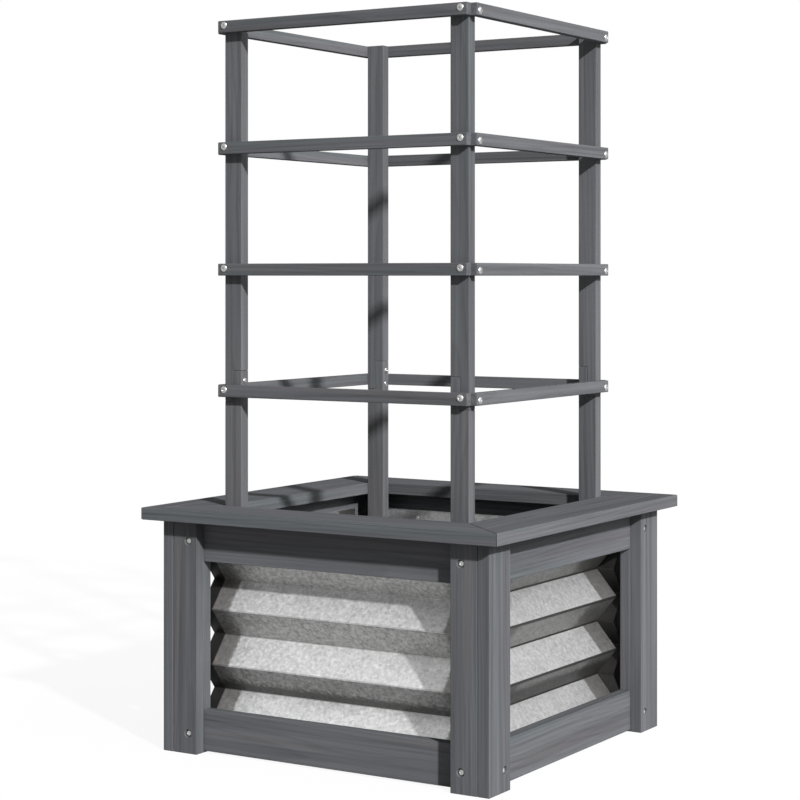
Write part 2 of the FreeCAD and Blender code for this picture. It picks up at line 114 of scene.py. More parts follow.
class PlanterFinish(bpy.types.PropertyGroup):
    """Colours and wear of the surfaces."""

    stain: colour("Stain", "Grey stain on every board", (0.098, 0.100, 0.107))
    stain_green: colour("Green cast", "Cooler streaks in the stain", (0.088, 0.097, 0.102))
    stain_brown: colour("Brown cast", "Warmer streaks in the stain", (0.101, 0.097, 0.103))
    zinc: colour("Zinc", "Folded sheet", (0.67, 0.67, 0.67))
    # Darker colour for the folds' undersides: painted shade.
    zinc_underside: colour("Zinc underside", "Dull undersides of the folds", (0.34, 0.34, 0.335))
    # Colour of the darker band at each end of a sheet.
    zinc_end: colour("Zinc ends", "Duller bands at a sheet's ends", (0.27, 0.26, 0.25))
    # Near-black painted shade for the bends, the band low down and the bands behind the stiles.
    zinc_painted_shade: colour("Soiled zinc", "Dirt in bends, low down, behind stiles", (0.026, 0.025, 0.024))
    screw: colour("Screws", "Plated screws", (0.42, 0.42, 0.415))
    dowel: colour("Dowels", "Raw beech", (0.50, 0.33, 0.19))
    floor: colour("Floor", "Floor, in the light that it returns to the planter", (0.34, 0.34, 0.34))
    floor_seen: colour("Floor seen", "Floor, where it is looked at", (0.80, 0.80, 0.80))
    floor_whiteness: share("Floor whiteness", "How far the floor's look is plain white", 0.92)
    grain_contrast: share("Grain", "Contrast of the wood grain", 0.5)


class PlanterStage(bpy.types.PropertyGroup):
    """Camera and lights."""

    camera_place: FloatVectorProperty(
        name="Camera", description="Where the camera stands", default=(1.65072, -2.80657, 0.70938),
        size=3, subtype="TRANSLATION", unit="LENGTH")
    camera_turn: FloatProperty(
        name="Camera turn", description="Camera's heading, level with the ground",
        default=math.radians(32.5), subtype="ANGLE")
    focal_pixels: FloatProperty(name="Focal length", description="Focal length in pixels", default=2123.96)
    centre_column: FloatProperty(name="Centre column", description="Optical centre, pixels", default=341.26)
    centre_row: FloatProperty(name="Centre row", description="Optical centre, pixels", default=274.74)
    key_turn: FloatProperty(
        name="Key heading", description="Key light, from the front towards the right",
        default=math.radians(59.2), subtype="ANGLE")
    key_height: FloatProperty(
        name="Key height", description="Key light above the horizon", default=math.radians(28.3),
        subtype="ANGLE")
    key_strength: FloatProperty(name="Key", description="Strength of the key light", default=5.5, min=0)
    key_spread: FloatProperty(
        name="Key spread", description="How wide the key light looks from the planter",
        default=math.radians(2.5), subtype="ANGLE")
    fill_turn: FloatProperty(
        name="Fill heading", description="Soft fill, from the front towards the right",
        default=math.radians(95), subtype="ANGLE")
    fill_height: FloatProperty(
        name="Fill height", description="Soft fill above the horizon", default=math.radians(30),
        subtype="ANGLE")
    fill_strength: FloatProperty(name="Fill", description="Strength of the soft fill", default=1.4, min=0)
    fill_spread: FloatProperty(
        name="Fill spread", description="How wide the soft fill looks from the planter",
        default=math.radians(60), subtype="ANGLE")
    sky_strength: FloatProperty(name="Sky", description="Strength of the soft light", default=0.31, min=0)


def sizes():
    return bpy.context.scene.planter_sizes


def finish():
    return bpy.context.scene.planter_finish


# ---------------------------------------------------------------- shader maths

class Wire:
    """A number or vector on its way through a material; the operators add Math nodes."""

    def __init__(self, shader, socket):
        self.shader = shader
        self.socket = socket

    def maths(self, operation, *values):
        return self.shader.add("ShaderNodeMath", {"operation": operation}, dict(enumerate(values)))

    def __add__(self, other):
        return self.maths("ADD", self, other)

    def __sub__(self, other):
        return self.maths("SUBTRACT", self, other)

    def __rsub__(self, other):
        return self.maths("SUBTRACT", other, self)

    def __mul__(self, other):
        return self.maths("MULTIPLY", self, other)

    def __truediv__(self, other):
        return self.maths("DIVIDE", self, other)

    __radd__ = __add__
    __rmul__ = __mul__

    def root(self):
        return self.maths("SQRT", self)

    def fraction(self):
        return self.maths("FRACT", self)

    def larger(self, other):
        return self.maths("MAXIMUM", self, other)

    def between(self, low, high):
        """0 below low, 1 above high, and smooth in between; low may be the larger."""
        settings = {"interpolation_type": "SMOOTHSTEP"}
        ends = {"Value": self, "From Min": low, "From Max": high}
        return self.shader.add("ShaderNodeMapRange", settings, ends)


class Shader:
    """A material or world being wired."""

    def __init__(self, owner):
        owner.use_nodes = True
        self.owner = owner
        self.tree = owner.node_tree
        self.tree.nodes.clear()

    def add(self, kind, settings=None, inputs=None, output=0):
        node = self.tree.nodes.new(kind)
        for name, value in (settings or {}).items():
            setattr(node, name, value)
        for name, value in (inputs or {}).items():
            if isinstance(value, Wire):
                self.tree.links.new(value.socket, node.inputs[name])
            else:
                node.inputs[name].default_value = value
        return Wire(self, node.outputs[output]) if node.outputs else None

    def attribute(self, name, output="Fac"):
        return self.add("ShaderNodeAttribute", {"attribute_name": name}, output=output)

    def parts(self, vector):
        return [self.add("ShaderNodeSeparateXYZ", None, {0: vector}, output=axis) for axis in range(3)]

    def stretched(self, vector, factors):
        return self.add("ShaderNodeVectorMath", {"operation": "MULTIPLY"}, {0: vector, 1: factors})

    def moved(self, vector, by):
        return self.add("ShaderNodeVectorMath", {"operation": "ADD"}, {0: vector, 1: by})

    def noise(self, vector, factors, detail=2.0):
        inputs = {"Vector": self.stretched(vector, factors), "Scale": 1.0, "Detail": detail}
        return self.add("ShaderNodeTexNoise", None, inputs)

    def mix(self, factor, first, second, blend="MIX"):
        """Sockets 6 and 7 of the node are its two colours, and its output 2 is the mixed one."""
        settings = {"data_type": "RGBA", "blend_type": blend}
        pair = [value if isinstance(value, Wire) else (*value, 1) for value in (first, second)]
        return self.add("ShaderNodeMix", settings, {0: factor, 6: pair[0], 7: pair[1]}, output=2)

    def grey(self, value):
        return self.add("ShaderNodeCombineColor", None, {0: value, 1: value, 2: value})

    def surface(self, inputs):
        shading = self.add("ShaderNodeBsdfPrincipled", None, inputs)
        self.close(shading)

    def close(self, shading):
        is_world = isinstance(self.owner, bpy.types.World)
        kind = "ShaderNodeOutputWorld" if is_world else "ShaderNodeOutputMaterial"
        self.add(kind, None, {"Surface": shading})


def made_once(function):
    """A material is made at its first use and then shared."""
    def material():
        name = function.__name__
        found = bpy.data.materials.get(name)
        if found is None:
            found = bpy.data.materials.new(name)
            function(Shader(found))
        return found
    return material


@made_once
def stained_timber(shader):
    """Softwood under a thin grey stain: growth rings as a solid, so that board ends show them too."""
    look = finish()
    grain = shader.attribute("grain", "Vector")
    tone = shader.attribute("board_tone")
    wander = shader.noise(grain, (3, 14, 14)) - 0.5
    along, across, through = shader.parts(grain)
    taper = 0.012
    ring_width = 0.0042
    radius = (across * across + through * through).root() + along * taper
    rings = (radius / ring_width + wander * 3.2).fraction()
    late = rings.between(0.35, 0.92) * rings.between(1.0, 0.93)
    clouds = shader.noise(grain, (2.2, 34, 34))
    streaks = shader.noise(grain, (2.0, 150, 150), 3.0)
    fibres = shader.noise(grain, (9, 620, 620), 3.0)
    pores = shader.noise(grain, (22, 900, 900), 1.0).between(0.66, 0.74)
    light = (
        1 + (tone - 0.5) * 0.16 + look.grain_contrast * (
            (clouds - 0.5) * 0.9 + (streaks - 0.5) * 1.5 + (fibres - 0.5) * 0.7 - late * 0.2 - pores * 0.3))
    cool = shader.noise(shader.moved(grain, (3, 1, 2)), (1.2, 45, 45)).between(0.52, 0.68)
    warm = shader.noise(shader.moved(grain, (7, 5, 1)), (1.4, 50, 50)).between(0.52, 0.70)
    base = shader.mix(cool * 0.75, look.stain, look.stain_green)
    base = shader.mix(warm * 0.75, base, look.stain_brown)
    base = shader.mix(1.0, base, shader.grey(light), "MULTIPLY")
    relief = fibres * 0.6 + streaks * 0.5 - late * 0.35 - pores * 0.6
    bump = {"Strength": 0.35, "Distance": 0.0005, "Height": relief}
    # The stain is dead matt: with no specular level it has no sheen, however low the light.
    shader.surface({
        "Base Color": base,
        "Roughness": 0.72 + (fibres - 0.5) * 0.22 + late * 0.06,
        "Specular IOR Level": 0.0,
        "Normal": shader.add("ShaderNodeBump", None, bump),
    })


@made_once
def folded_zinc(shader):
    """Hot-dip zinc: fine spangle and clouds; painted shade on the undersides, in the bends, low down, behind
    the stiles, on the inner faces and on the left and right sheets; a darker band at each end.
    """
    look = finish()
    end_band_width = sizes().end_band_width
    dark_end = sizes().dark_end
    place = shader.add("ShaderNodeTexCoord", output="Object")
    height = shader.parts(place)[2]
    crease = shader.attribute("crease_distance")
    end = shader.attribute("end_distance")
    underside = shader.attribute("underside")
    shaded = shader.attribute("shaded_side")
    inside = shader.attribute("inside")
    cell = {"Vector": place, "Scale": 260.0}
    spangle = shader.parts(shader.add("ShaderNodeTexVoronoi", None, cell, output="Color"))[0]
    clouds = shader.noise(place, (26, 26, 26), 3.0)
    mottle = shader.noise(place, (170, 170, 170), 3.0)
    specks = shader.noise(place, (620, 620, 620), 2.0)
    fine = (mottle - 0.5) * (0.7 + underside * 0.8) + (specks - 0.5) * (0.55 + underside * 0.7)
    # Painted shade: dark lines along the bends, darker and wider on the undersides of the left and right
    # sheets.
    painted_crease_shade = (crease - shaded * underside * 0.0026).between(0.0014, 0.0005) * (0.4 + shaded * 0.6)
    # Painted shade: a dark band low on the undersides, next to the bottom rail, reaching higher on the left
    # and right sheets.
    painted_low_shade_top = height + (mottle - 0.5) * 0.016 - shaded * 0.012
    painted_low_shade = underside * painted_low_shade_top.between(0.108, 0.096) * (0.35 + mottle * 0.8)
    # A darker band at each end of every sheet, with a ragged edge, wider on the undersides of the left and
    # right sheets.
    ragged = end + (mottle - 0.5) * 0.006 - underside * shaded * 0.040
    end_band = ragged.between(end_band_width + 0.003, end_band_width - 0.003)
    end_band_soft = ragged.between(end_band_width + 0.015, end_band_width - 0.015)
    # Painted shade: near-black bands at the ends of the front and back sheets, behind the stiles, wider on
    # the inner faces.
    painted_shade_behind_stiles = (end - inside * 0.018).between(dark_end + 0.001, dark_end - 0.001)
    painted_shade_behind_stiles = painted_shade_behind_stiles * (1 - shaded) * 0.95
    # Painted shade: the folds' undersides take a darker colour.
    base = shader.mix(underside, look.zinc, look.zinc_underside)
    # The end band turns the colour darker, less so on the undersides.
    base = shader.mix(end_band * (1 - underside * 0.6), base, look.zinc_end)
    # Painted shade: the left and right sheets 43 % darker and the inner faces 45 % darker; undersides are
    # also darker near a sheet's ends.
    painted_shade_and_end_band = (1 - shaded * 0.43) * (1 - inside * 0.45) * (1 - underside * end_band_soft * 0.45)
    light = (1 + (spangle - 0.5) * 0.18 + (clouds - 0.5) * 0.22 + fine) * painted_shade_and_end_band
    base = shader.mix(1.0, base, shader.grey(light), "MULTIPLY")
    # The painted shade in the bends, low down and behind the stiles takes the near-black colour.
    base = shader.mix(painted_crease_shade.larger(painted_low_shade).larger(painted_shade_behind_stiles), base, look.zinc_painted_shade)
    bump = {"Strength": 0.12, "Distance": 0.0003, "Height": mottle * 0.6 + specks * 0.3}
    shader.surface({
        "Base Color": base,
        "Metallic": 0.75,
        "Roughness": 0.50 + (spangle - 0.5) * 0.08 + (mottle - 0.5) * 0.12,
        "Normal": shader.add("ShaderNodeBump", None, bump),
    })


@made_once
def plated_steel(shader):
    """Zinc-plated screws with fine turning marks and patches of duller finish."""
    place = shader.add("ShaderNodeTexCoord", output="Object")
    marks = shader.noise(place, (2200, 2200, 2200), 2.0)
    patches = shader.noise(place, (420, 420, 420), 2.0)
    light = 1 + (patches - 0.5) * 0.3
    base = shader.mix(1.0, finish().screw, shader.grey(light), "MULTIPLY")
    bump = {"Strength": 0.15, "Distance": 0.0001, "Height": marks}
    shader.surface({
        "Base Color": base,
        "Metallic": 1.0,
        "Roughness": 0.42 + (patches - 0.5) * 0.2 + (marks - 0.5) * 0.1,
        "Normal": shader.add("ShaderNodeBump", None, bump),
    })


@made_once
def raw_beech(shader):
    """Dowels: pale wood with short brown flecks."""
    place = shader.add("ShaderNodeTexCoord", output="Object")
    flecks = shader.noise(place, (900, 900, 900), 2.0).between(0.6, 0.7)
    base = shader.mix(flecks * 0.4, finish().dowel, (0.26, 0.15, 0.08))
    bump = {"Strength": 0.2, "Distance": 0.0002, "Height": 1 - flecks}
    normal = shader.add("ShaderNodeBump", None, bump)
    shader.surface({"Base Color": base, "Roughness": 0.55 + flecks * 0.1, "Normal": normal})


def backdrop_rays(shader):
    """1 for what looks at the background itself, or at it in metal or glass."""
    rays = [shader.add("ShaderNodeLightPath", output=name)
            for name in ("Is Camera Ray", "Is Glossy Ray", "Is Transmission Ray")]
    return rays[0].larger(rays[1]).larger(rays[2])


@made_once
def pale_floor(shader):
    """Matt floor that looks white round the planter and keeps its shadow."""
    look = finish()
    seen = backdrop_rays(shader)
    tint = shader.mix(seen, look.floor, look.floor_seen)
    diffuse = shader.add("ShaderNodeBsdfDiffuse", None, {"Color": tint})
    white = shader.add("ShaderNodeEmission", None, {"Strength": 1.0})
    whitened = seen * look.floor_whiteness
    shader.close(shader.add("ShaderNodeMixShader", None, {0: whitened, 1: diffuse, 2: white}))


# ---------------------------------------------------------------- mesh helpers

def solids(node):
    """The boxes of a node's separate solids, lowest corner and highest corner, with their points."""
    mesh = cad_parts[node].data
    bm = bmesh.new()
    bm.from_mesh(mesh)
    bmesh.ops.remove_doubles(bm, verts=bm.verts, dist=1e-7)
    left = set(bm.verts)
    found = []
    while left:
        points = []
        reached = [left.pop()]
        while reached:
            vert = reached.pop()
            points.append(vert.co.copy())
            for edge in vert.link_edges:
                other = edge.other_vert(vert)
                if other in left:
                    left.remove(other)
                    reached.append(other)
        low = Vector([min(point[axis] for point in points) for axis in range(3)])
        high = Vector([max(point[axis] for point in points) for axis in range(3)])
        found.append((low, high, points))
    bm.free()
    return sorted(found, key=lambda item: tuple(round(value, 5) for value in item[0]))


def new_object(name, mesh):
    made = bpy.data.objects.new(name, mesh)
    bpy.context.scene.collection.objects.link(made)
    return made


def finished(bm, name):
    mesh = bpy.data.meshes.new(name)
    bmesh.ops.recalc_face_normals(bm, faces=bm.faces)
    bm.to_mesh(mesh)
    bm.free()
    return mesh


def joined(meshes, name):
    """One mesh from several, with their attributes."""
    bm = bmesh.new()
    for mesh in meshes:
        bm.from_mesh(mesh)
    whole = bpy.data.meshes.new(name)
    bm.to_mesh(whole)
    bm.free()
    return whole


def carved(mesh, tools):
    """The mesh with the tool meshes cut out of it."""
    body = new_object("carving", mesh)
    cutters = [new_object("cutter", tool) for tool in tools]
    for cutter in cutters:
        cut = body.modifiers.new("cut", "BOOLEAN")
        cut.object = cutter
        cut.operation = "DIFFERENCE"
        cut.solver = "EXACT"
    depsgraph = bpy.context.evaluated_depsgraph_get()
    result = bpy.data.meshes.new_from_object(body.evaluated_get(depsgraph))
    for item in (body, *cutters):
        bpy.data.objects.remove(item)
    return result


def eased(mesh, radius, segments=3, sharpest=math.radians(30)):
    """The mesh with its sharp edges rounded."""
    bm = bmesh.new()
    bm.from_mesh(mesh)
    edges = [edge for edge in bm.edges if edge.calc_face_angle(0) > sharpest]
    bmesh.ops.bevel(bm, geom=edges, offset=radius, segments=segments, profile=0.5,
                    affect="EDGES", clamp_overlap=True)
    bm.to_mesh(mesh)
    bm.free()
    return mesh


def show(name, mesh, node, material):
    """The finished piece: it rides the body and stands for its node of the frame."""
    piece = new_object(name, mesh)
    mesh.materials.clear()
    mesh.materials.append(material)
    mesh.polygons.foreach_set("use_smooth", [True] * len(mesh.polygons))
    mesh.set_sharp_from_angle(angle=math.radians(40))
    weighting = piece.modifiers.new("flat faces stay flat", "WEIGHTED_NORMAL")
    weighting.keep_sharp = True
    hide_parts(node)
    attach(piece, "root")
    return piece


# ---------------------------------------------------------------- timber

class Board:
    """A board's own directions: along the grain, across its width and through its thickness."""

    def __init__(self, low, high):
        spans = high - low
        self.order = sorted(range(3), key=lambda axis: -spans[axis])
        self.centre = (low + high) / 2
        self.half = [spans[axis] / 2 for axis in self.order]

    def matrix(self):
        turn = Matrix.Identity(4)
        for column, axis in enumerate(self.order):
            for row in range(3):
                turn[row][column] = 1.0 if row == axis else 0.0
        return Matrix.Translation(self.centre) @ turn

    def local(self, point):
        return [(point - self.centre)[axis] for axis in self.order]

    def rectangle(self):
        x, y, _ = self.half
        return [(-x, -y), (x, -y), (x, y), (-x, y)]


def extruded(outline, half_thickness, name):
    """A straight prism on an outline, the same distance both ways."""
    bm = bmesh.new()
    layers = [[bm.verts.new((x, y, z)) for x, y in outline] for z in (-half_thickness, half_thickness)]
    bm.faces.new(layers[0][::-1])
    bm.faces.new(layers[1])
    count = len(outline)
    for index in range(count):
        after = (index + 1) % count
        bm.faces.new((layers[0][index], layers[0][after], layers[1][after], layers[1][index]))
    return finished(bm, name)


def rod(start, direction, radius, length, segments=32):
    """A cylinder from a point, for cutting bores."""
    bm = bmesh.new()
    bmesh.ops.create_cone(bm, cap_ends=True, segments=segments, radius1=radius, radius2=radius, depth=length)
    turn = direction.to_track_quat("Z", "Y").to_matrix().to_4x4()
    bm.transform(Matrix.Translation(start + direction * length / 2) @ turn)
    return finished(bm, "rod")


def grow_grain(mesh, board, seed):
    """Give each point its place in the tree, so that the grain is solid and differs by board."""
    draw = random.Random(seed)
    pith = Vector((
        draw.uniform(-4, 4), draw.choice((-1, 1)) * draw.uniform(0.005, 0.05),
        draw.choice((-1, 1)) * draw.uniform(0.03, 0.09)))
    tone = draw.random()
    places = [value for vert in mesh.vertices for value in Vector(board.local(vert.co)) + pith]
    mesh.attributes.new("grain", "FLOAT_VECTOR", "POINT").data.foreach_set("vector", places)
    tones = [tone] * len(mesh.vertices)
    mesh.attributes.new("board_tone", "FLOAT", "POINT").data.foreach_set("value", tones)


def timber(board, seed, outline=None, bores=()):
    """A board's mesh where it stands in the planter: outline, bores, rounded edges, then its grain."""
    mesh = extruded(outline or board.rectangle(), board.half[2], seed)
    mesh.transform(board.matrix())
    if bores:
        mesh = carved(mesh, bores)
    # A board's own directions may be left-handed, which leaves its faces inside out.
    bm = bmesh.new()
    bm.from_mesh(mesh)
    bmesh.ops.recalc_face_normals(bm, faces=bm.faces)
    bm.to_mesh(mesh)
    bm.free()
    eased(mesh, sizes().edge_radius)
    grow_grain(mesh, board, seed)
    return mesh


def show_timber(node):
    """Build each solid of a node as a board, and show them as one piece."""
    meshes = []
    for number, (low, high, _) in enumerate(solids(node)):
        meshes.append(timber(Board(low, high), f"{node} {number}"))
    mesh = meshes[0] if len(meshes) == 1 else joined(meshes, node)
    return show(f"{node}_wood", mesh, node, stained_timber())


def nodes_ending(*endings):
    return [node for node in sorted(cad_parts) if node.endswith(endings)]


# ---------------------------------------------------------------- screws

class ScrewPlace:
    """Where a screw of the frame sits: the top of its head, the way it faces and its size."""

    def __init__(self, low, high, points):
        spans = high - low
        self.axis = max(range(3), key=lambda axis: spans[axis])
        self.centre = (low + high) / 2
        # The point furthest from the screw's axis is on its head.
        widest = max(points, key=self.reach)
        towards_high = widest[self.axis] > self.centre[self.axis]
        self.facing = Vector((0, 0, 0))
        self.facing[self.axis] = 1 if towards_high else -1
        self.head_radius = self.reach(widest)
        self.top = self.centre.copy()
        self.top[self.axis] = (high if towards_high else low)[self.axis]
        self.length = spans[self.axis]

    def reach(self, point):
        """A point's distance from the screw's axis."""
        offset = point - self.centre
        offset[self.axis] = 0
        return offset.length


def lathed(profile, segments, name):
    """A closed turned shape about Z from an outline of (radius, height) points."""
    bm = bmesh.new()
    rings = []
    for radius, height in profile:
        if radius == 0:
            rings.append([bm.verts.new((0, 0, height))])
            continue
        turns = [2 * math.pi * step / segments for step in range(segments)]
        places = [(radius * math.cos(turn), radius * math.sin(turn), height) for turn in turns]
        rings.append([bm.verts.new(place) for place in places])
    for lower, upper in zip(rings, rings[1:]):
        for step in range(segments):
            corners = [lower[step % len(lower)], lower[(step + 1) % len(lower)],
                       upper[(step + 1) % len(upper)], upper[step % len(upper)]]
            bm.faces.new(list(dict.fromkeys(corners)))
    return finished(bm, name)


def cross_cutters():
    """Two tapered bars at right angles, to sink the cross recess into a screw's head."""
    look = sizes()
    cutters = []
    for turn in (0, math.pi / 2):
        bm = bmesh.new()
        made = bmesh.ops.create_cube(bm, size=1)["verts"]
        for vert in made:
            below = vert.co.z < 0
            vert.co.x *= look.recess_span * (0.45 if below else 1.08)
            vert.co.y *= look.recess_span * (0.16 if below else 0.25)
            vert.co.z = -look.recess_depth if below else look.recess_depth * 0.3
        bmesh.ops.rotate(bm, verts=made, cent=(0, 0, 0), matrix=Matrix.Rotation(turn, 3, "Z"))
        cutters.append(finished(bm, "cross"))
    return cutters


def screw_mesh(place, head_height, shank_radius, name):
    """A domed head with a cross recess, a shank and a point; the head's top is at z = 0."""
    radius = place.head_radius
    neck = -head_height
    tip = -place.length
    dome_start = 12
    dome_steps = 6
    dome = []
    for step in range(dome_steps):
        turn = math.radians(dome_start + (90 - dome_start) * step / dome_steps)
        dome.append((radius * math.cos(turn), head_height * (math.sin(turn) - 1)))
    shank = [(0, tip), (shank_radius, tip + 2 * shank_radius), (shank_radius, neck)]
    rim = [(radius * 0.93, neck), (radius, neck * 0.86)]
    mesh = lathed(shank + rim + dome + [(0, 0)], segments=40, name=name)
    mesh = carved(mesh, cross_cutters())
    return eased(mesh, 0.00012, segments=2, sharpest=math.radians(50))


def show_screws(node, head_height, shank_radius):
    """One screw, copied to each place where the frame has one."""
    places = [ScrewPlace(*solid) for solid in solids(node)]
    one = screw_mesh(places[0], head_height, shank_radius, node)
    bm = bmesh.new()
    draw = random.Random(node)
    for place in places:
        copy = one.copy()
        turn = place.facing.to_track_quat("Z", "Y").to_matrix().to_4x4()
        roll = Matrix.Rotation(draw.uniform(0, math.pi), 4, "Z")
        copy.transform(Matrix.Translation(place.top) @ turn @ roll)
        bm.from_mesh(copy)
    mesh = bpy.data.meshes.new(node)
    bm.to_mesh(mesh)
    bm.free()
    return show(f"{node}_steel", mesh, node, plated_steel())


# ---------------------------------------------------------------- folded sheet

def fold_line(low, high):
    """The sheet's middle line, seen from its end, as (outwards, height) corners. 0 is the flange."""
    look = sizes()
    corners = [(0.0, low), (0.0, low + look.flange_height)]
    rise = (high - low - 2 * look.flange_height) / (2 * look.fold_count)
    for step in range(1, 2 * look.fold_count + 1):
        corners.append((-look.fold_depth if step % 2 else 0.0, low + look.flange_height + step * rise))
    corners.append((0.0, high))
    return [Vector(corner) for corner in corners]


def bent(corners, radius, steps=5):
    """The line with its corners rounded: points, each with its normal and its distance to the bend."""
    far = 1.0

    def left_of(direction):
        return Vector((direction.y, -direction.x))

    points = [(corners[0], left_of((corners[1] - corners[0]).normalized()), far)]
    for before, corner, after in zip(corners, corners[1:], corners[2:]):
        into = (corner - before).normalized()
        out = (after - corner).normalized()
        turn = into.angle_signed(out)
        setback = radius * math.tan(abs(turn) / 2)
        start = corner - into * setback
        side = left_of(into) if turn > 0 else -left_of(into)
        middle = start + side * radius
        # Along the flat stretches, points close in on the bend.
        stretch = (corner - before).length
        for share_left in (0.5, 0.12, 0.04):
            distance = stretch * share_left
            points.append((corner - into * distance, left_of(into), distance))
        for step in range(steps + 1):
            arm = (start - middle).copy()
            arm.rotate(Matrix.Rotation(-turn * step / steps, 2))
            normal = arm.normalized() * (-1 if turn > 0 else 1)
            points.append((middle + arm, normal, 0.0))
        stretch = (after - corner).length
        for share_left in (0.04, 0.12):
            distance = stretch * share_left
            points.append((corner + out * distance, left_of(out), distance))
    last = (corners[-1] - corners[-2]).normalized()
    points.append((corners[-1], left_of(last), far))
    return points


def show_panel(side):
    """A folded sheet behind one side's rails: rounded bends, faint dents, both faces."""
    node = f"{side}_folded_panel"
    look = sizes()
    low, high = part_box(node)
    out_axis = 1 if side in ACROSS else 0
    run_axis = 1 - out_axis
    outwards = -1 if side in ("front", "left") else 1
    flange_plane = low[out_axis] if outwards < 0 else high[out_axis]
    half = look.sheet_thickness / 2
    line = bent(fold_line(low.z, high.z), look.bend_radius + half)
    cuts = 48
    length = high[run_axis] - low[run_axis]
    draw = random.Random(node)
    waves = [(draw.uniform(5, 14), draw.uniform(0, 6.28), draw.uniform(14, 30), draw.uniform(0, 6.28))
             for _ in range(3)]
    bm = bmesh.new()
    crease = bm.verts.layers.float.new("crease_distance")
    end = bm.verts.layers.float.new("end_distance")
    underside = bm.verts.layers.float.new("underside")
    shaded = bm.verts.layers.float.new("shaded_side")
    inside = bm.verts.layers.float.new("inside")

    def dent(run, height, distance, from_end):
        # The sheet stays true along its bends and its ends.
        calm = min(1.0, distance / 0.012) * min(1.0, from_end / 0.02)
        wave = sum(math.sin(a * run + b) * math.sin(c * height + d) for a, b, c, d in waves) / len(waves)
        return look.dent * wave * calm

    def ring(run, from_end):
        made = []
        for offset in (half, -half):
            row = []
            for point, normal, distance in line:
                shift = offset + dent(run, point.y, distance, from_end)
                place = point + normal * shift
                corner = Vector((0, 0, place.y))
                corner[run_axis] = run
                corner[out_axis] = flange_plane + outwards * (place.x - half)
                vert = bm.verts.new(corner)
                vert[crease] = distance
                vert[end] = from_end
                vert[underside] = min(1.0, max(0.0, -2 * normal.y * math.copysign(1, offset)))
                # The left and right sheets get painted shade.
                vert[shaded] = 0.0 if side in ACROSS else 1.0
                # The inner faces get painted shade.
                vert[inside] = 0.0 if offset > 0 else 1.0
                row.append(vert)
            made.append(row)
        return made[0] + made[1][::-1]

    rings = []
    for cut in range(cuts + 1):
        place = cut / cuts
        run = low[run_axis] + length * place
        rings.append(ring(run, length * min(place, 1 - place)))
    count = len(rings[0])
    for first, second in zip(rings, rings[1:]):
        for index in range(count):
            after = (index + 1) % count
            bm.faces.new((first[index], first[after], second[after], second[index]))
    for cap in (rings[0], rings[-1]):
        for index in range(len(line) - 1):
            bm.faces.new((cap[index], cap[index + 1], cap[count - 2 - index], cap[count - 1 - index]))
    return show(f"{side}_zinc_sheet", finished(bm, node), node, folded_zinc())


# ---------------------------------------------------------------- operators: one for each piece

class PlanterOperator(bpy.types.Operator):
    """What the operators share; an error in a build stops the script."""

    bl_options = {"REGISTER", "UNDO"}

    def execute(self, context):
        self.build()
        return {"FINISHED"}


class PLANTER_OT_legs(PlanterOperator):
    """Leg boards with their counterbored screw recesses, and the stiles behind them"""

    bl_idname = "planter.legs"
    bl_label = "Legs"

    def build(self):
        look = sizes()
        screws = [ScrewPlace(*solid) for solid in solids("leg_screws")]
        for node in nodes_ending("_leg_face_board", "_leg_side_board"):
            low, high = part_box(node)
            if node.endswith("_face_board"):
                corner = high if high.x > 0 else low
                corner.x -= math.copysign(look.seam_gap, corner.x)
            board = Board(low, high)
            bores = [self.counterbore(screw, low, high) for screw in screws
                     if self.is_in(screw, low, high) and screw.axis == board.order[2]]
            mesh = timber(board, f"{node} 0", bores=bores)
            show(f"{node}_wood", mesh, node, stained_timber())
        for node in nodes_ending("_corner_stiles"):
            self.stiles(node)

    def is_in(self, screw, low, high):
        """Whether a screw's head is in a board, or stands a little proud of it."""
        proud = Vector((0.003, 0.003, 0.003))
        return all(a < b < c for a, b, c in zip(low - proud, screw.top, high + proud))

    def counterbore(self, screw, low, high):
        """The recess round a screw's head, open at the board's face."""
        look = sizes()
        start = screw.top.copy()
        start[screw.axis] = (high if screw.facing[screw.axis] > 0 else low)[screw.axis]
        start -= screw.facing * look.counterbore_depth
        return rod(start, screw.facing, look.counterbore_radius, look.counterbore_depth * 2)

    def stiles(self, node):
        """The face stile fills the corner's outer layer; the side stile stands behind it."""
        low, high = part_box(node)
        face_low, face_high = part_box(node.replace("_corner_stiles", "_leg_face_board"))
        thickness = face_high.y - face_low.y
        outer_x, inner_x = (low.x, high.x) if low.x < 0 else (high.x, low.x)
        outer_y, inner_y = (low.y, high.y) if low.y < 0 else (high.y, low.y)
        side_x = outer_x - math.copysign(thickness, outer_x)
        seam_y = outer_y - math.copysign(thickness, outer_y)
        face = self.upright((outer_x, outer_y, low.z), (inner_x, seam_y, high.z))
        side = self.upright((outer_x, seam_y, low.z), (side_x, inner_y, high.z))
        meshes = [timber(face, f"{node} face"), timber(side, f"{node} side")]
        show(f"{node}_wood", joined(meshes, node), node, stained_timber())

    def upright(self, corner, opposite):
        """A board between two opposite corners."""
        return Board(Vector(map(min, corner, opposite)), Vector(map(max, corner, opposite)))


class PLANTER_OT_rails(PlanterOperator):
    """Top and bottom rails between the legs"""

    bl_idname = "planter.rails"
    bl_label = "Rails"

    def build(self):
        for node in nodes_ending("_rail"):
            show_timber(node)


class PLANTER_OT_panels(PlanterOperator):
    """V-folded zinc sheets"""

    bl_idname = "planter.panels"
    bl_label = "Folded panels"

    def build(self):
        for side in SIDES:
            show_panel(side)


